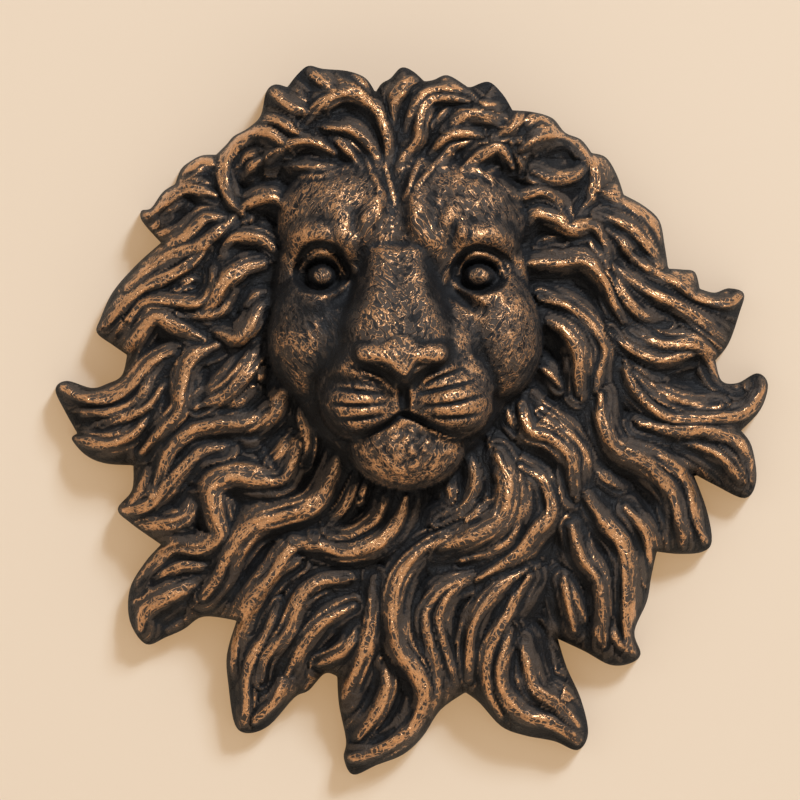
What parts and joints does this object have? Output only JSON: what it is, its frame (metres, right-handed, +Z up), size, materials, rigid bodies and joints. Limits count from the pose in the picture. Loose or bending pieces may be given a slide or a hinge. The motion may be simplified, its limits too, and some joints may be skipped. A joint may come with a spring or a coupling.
{
  "type": "lion head wall planter",
  "caption": "Lion head mask in high relief with a flowing mane, cast in one piece to hang on a wall, with a planting pocket hidden behind the crown.",
  "frame": {"origin": "a point of the flat back face near the middle of the mask, on the wall", "axes": "+Y into the wall, square to the back face; the face looks along -Y; +X to the right as the mask is seen; +Z up"},
  "size_m": [0.4003, 0.123, 0.3939],
  "materials": {
    "rubbed_bronze": "cast resin and stone mix, blue-black ground, copper rubbed on the raised carving"
  },
  "bodies": {
    "root": {"lion_mask": "rubbed_bronze"}
  },
  "joints": []
}
